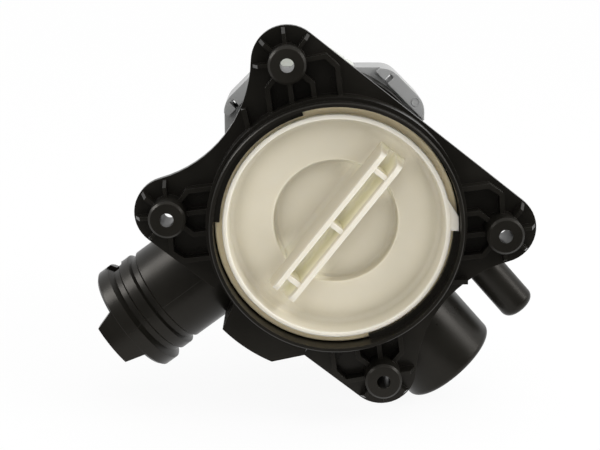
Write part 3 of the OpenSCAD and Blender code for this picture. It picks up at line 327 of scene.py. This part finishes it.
# Materials, one for each slot of the record: colours in pairs or threes, the third of plastic and rubber a
# painted edge highlight, then the range of roughness
materials = {
    "black_plastic": moulded("black_plastic", (0.0085, 0.0077, 0.0060), (0.0125, 0.0113, 0.0090),
                             (0.030, 0.027, 0.022), (0.27, 0.37), specular=0.20, edge=0.18 * MM,
                             tint=(1.0, 0.95, 0.88)),
    "cream_plastic": moulded("cream_plastic", (0.69, 0.645, 0.53), (0.72, 0.672, 0.555), (0.72, 0.675, 0.565),
                             (0.34, 0.46), specular=0.40, edge=0.3 * MM, grain=1500.0, grain_depth=0.006 * MM,
                             milk=1.0, depth=2.5 * MM, corner=(0.54, 0.50, 0.395),
                             painted_gap_glow=(0.99, 0.925, 0.77), front=(0.73, 0.69, 0.60)),
    "tan_rubber": moulded("tan_rubber", (0.76, 0.62, 0.40), (0.80, 0.66, 0.44), (0.85, 0.73, 0.53),
                          (0.45, 0.6), specular=0.30, milk=0.5, painted_gap_glow=(0.90, 0.76, 0.50)),
    "black_rubber": moulded("black_rubber", (0.012, 0.012, 0.012), (0.02, 0.02, 0.019), (0.04, 0.04, 0.038),
                            (0.55, 0.75), specular=0.3),
    "grey_plastic": moulded("grey_plastic", (0.37, 0.372, 0.368), (0.41, 0.412, 0.408), (0.44, 0.443, 0.44),
                            (0.30, 0.42), specular=0.25, edge=0.6 * MM, milk=0.15),
    "dark_plastic": moulded("dark_plastic", (0.018, 0.018, 0.020), (0.026, 0.026, 0.028), (0.06, 0.06, 0.062),
                            (0.4, 0.55), specular=0.4),
    "pale_plastic": moulded("pale_plastic", (0.62, 0.64, 0.58), (0.68, 0.70, 0.64), (0.78, 0.79, 0.74),
                            (0.35, 0.5), specular=0.4, milk=0.3),
    "steel": metal("steel", (0.62, 0.62, 0.63), (0.45, 0.45, 0.47), (0.22, 0.38), lines=(1.0, 0.05, 1.0)),
    "lamination": metal("lamination", (0.34, 0.34, 0.36), (0.18, 0.18, 0.19), (0.35, 0.55), bands=320.0),
    "copper": metal("copper", (0.56, 0.24, 0.10), (0.36, 0.13, 0.05), (0.25, 0.4), bands=500.0, band_axis="Z",
                    band_depth=0.12 * MM),
    "ferrite": metal("ferrite", (0.13, 0.13, 0.14), (0.08, 0.08, 0.085), (0.5, 0.7)),
    "carbon": metal("carbon", (0.10, 0.10, 0.105), (0.06, 0.06, 0.065), (0.45, 0.65)),
    "brass": metal("brass", (0.66, 0.58, 0.34), (0.48, 0.40, 0.20), (0.22, 0.35), lines=(1.0, 0.08, 1.0)),
}


def dress_solids():
    """Gives every solid the material of its slot."""
    for part in frame["record"]["subparts"]:
        mesh = nodes[part["node"]].data
        mesh.materials.clear()
        mesh.materials.append(materials[part["material_slot"]])


def add_piece(name, bm, slot, body):
    """Turns a finished bmesh into a smooth piece that rides on a body."""
    mesh = bpy.data.meshes.new(name)
    bm.to_mesh(mesh)
    bm.free()
    piece = bpy.data.objects.new(name, mesh)
    bpy.context.scene.collection.objects.link(piece)
    mesh.materials.append(materials[slot])
    for face in mesh.polygons:
        face.use_smooth = True
    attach(piece, body)


def ridge(name, crest, across, out, slot, body):
    """A low ridge along the points of crest; across and out are its sideways and outward directions."""
    bm = bmesh.new()
    rows = []
    for p in crest:
        foot = p - out * LINE_H / 2
        rows.append([bm.verts.new(foot - across * LINE_W / 2), bm.verts.new(p + out * LINE_H),
                     bm.verts.new(foot + across * LINE_W / 2)])
    for a, b in zip(rows, rows[1:]):
        for i in (0, 1):
            bm.faces.new((a[i], a[i + 1], b[i + 1], b[i]))
    add_piece(name, bm, slot, body)


def ring_mark(bm, centre, axis, radius, wire):
    """A half-sunk ring of wire about an axis."""
    side = axis.orthogonal().normalized()
    other = axis.cross(side)
    rows = []
    for i in range(RING_TURNS):
        a = 2 * math.pi * i / RING_TURNS
        way = side * math.cos(a) + other * math.sin(a)
        rows.append([bm.verts.new(centre + way * (radius + wire * math.cos(b)) + axis * wire * math.sin(b))
                     for b in (2 * math.pi * k / RING_SIDES for k in range(RING_SIDES))])
    for i, a in enumerate(rows):
        b = rows[(i + 1) % RING_TURNS]
        for k in range(RING_SIDES):
            n = (k + 1) % RING_SIDES
            bm.faces.new((a[k], a[n], b[n], b[k]))


def ring_marks(name, centres, radius, wire, slot, body):
    """A piece of rings on faces that look to the service side."""
    bm = bmesh.new()
    for centre in centres:
        ring_mark(bm, centre, SERVICE_SIDE, radius, wire)
    add_piece(name, bm, slot, body)


def flange_point(along_short, along_long, depth):
    """A point in the flange's own frame, whose short axis is turned from X towards Z."""
    c, s = math.cos(FLANGE_TURN), math.sin(FLANGE_TURN)
    return Vector((along_short * c - along_long * s, depth, along_short * s + along_long * c))


def moulding_marks():
    socket = mounts["outlet_socket"]
    way = Vector(socket["axis"])
    rim = Vector(socket["pos_m"]) + way * socket["dims"]["length_mm"] / 2 * MM
    crest = [rim - way * t * MM + SERVICE_SIDE * r * MM for t, r in OUTLET_STEPS]
    ridge("outlet_parting_line", crest, way.cross(SERVICE_SIDE), SERVICE_SIDE, "black_plastic", "housing")
    centres = [flange_point(short * (HOLE_SHORT + a * MM), long * (HOLE_LONG + b * MM), PLATE_FRONT)
               for short in (-1, 1) for long in (-1, 1) for a, b in MARK_PLACES]
    ring_marks("ejector_marks", centres, MARK_R, MARK_WIRE, "black_plastic", "housing")
    ring_marks("cover_mark", [COVER_MARK], COVER_MARK_R, COVER_MARK_WIRE, "grey_plastic", "housing")


def make_floor():
    """White table that ends just in front of the pump and takes its shadow."""
    mesh = bpy.data.meshes.new("floor")
    z = cad_box[0].z - FLOOR_DROP
    corners = [(-FLOOR_HALF, FLOOR_FRONT, z), (FLOOR_HALF, FLOOR_FRONT, z),
               (FLOOR_HALF, FLOOR_HALF, z), (-FLOOR_HALF, FLOOR_HALF, z)]
    mesh.from_pydata(corners, [], [(0, 1, 2, 3)])
    floor = bpy.data.objects.new("floor", mesh)
    bpy.context.scene.collection.objects.link(floor)
    material = bpy.data.materials.new("floor")
    material.use_nodes = True
    material.node_tree.nodes.clear()
    net = Nodes(material.node_tree)
    diffuse = net.node("ShaderNodeBsdfDiffuse", {"Color": FLOOR_COLOUR}).outputs[0]
    glow = net.node("ShaderNodeEmission").outputs[0]
    share = net.math("MULTIPLY", net.seen(), FLOOR_GLOW)
    both = net.node("ShaderNodeMixShader", {0: share, 1: diffuse, 2: glow}).outputs[0]
    net.node("ShaderNodeOutputMaterial", {"Surface": both})
    mesh.materials.append(material)


def make_world():
    """White surroundings; in reflections their low side behind the camera is dark, which gives black depth."""
    world = bpy.data.worlds.new("studio")
    bpy.context.scene.world = world
    world.use_nodes = True
    net = Nodes(world.node_tree)
    coords = net.node("ShaderNodeTexCoord").outputs["Generated"]
    way = net.node("ShaderNodeSeparateXYZ", {0: coords}).outputs
    front = net.spread(way["Y"], DARK_FRONT)
    low = net.spread(way["Z"], DARK_LOW)
    side = net.spread(way["X"], DARK_ACROSS, (DARK_LEFT, 1.0))
    shade = net.math("MULTIPLY", net.math("MULTIPLY", front, low), side)
    dark = net.math("MULTIPLY", shade, net.ray("Glossy"))
    seen = net.seen()
    ambient = net.spread(way["Y"], AMBIENT_TURN, (AMBIENT, AMBIENT_FRONT))
    unseen = net.math("MULTIPLY", ambient, net.math("SUBTRACT", 1.0, seen))
    level = net.math("ADD", unseen, seen)
    left_over = net.spread(dark, (0.0, 1.0), (1.0, 1.0 - DARK_SHARE))
    sky = world.node_tree.nodes["Background"]
    sky.inputs["Color"].default_value = WHITE
    net.plug(net.math("MULTIPLY", level, left_over), sky.inputs["Strength"])


def soft_box(name, place, watts, lights, shows):
    """Square lamp; without lights it is a card that shows only as sheen, without shows it gives no sheen."""
    lamp = bpy.data.lights.new(name, "AREA")
    lamp.shape = "SQUARE"
    lamp.size = LAMP_SIZE
    lamp.energy = watts
    light = bpy.data.objects.new(name, lamp)
    light.visible_diffuse = lights
    light.visible_glossy = shows
    light.location = place
    light.rotation_euler = (LAMP_TARGET - Vector(place)).to_track_quat("-Z", "Y").to_euler()
    bpy.context.scene.collection.objects.link(light)


make_camera()
dress_solids()
moulding_marks()
make_floor()
make_world()
for settings in LAMPS:
    soft_box(*settings)
bpy.context.scene.view_settings.view_transform = "Standard"
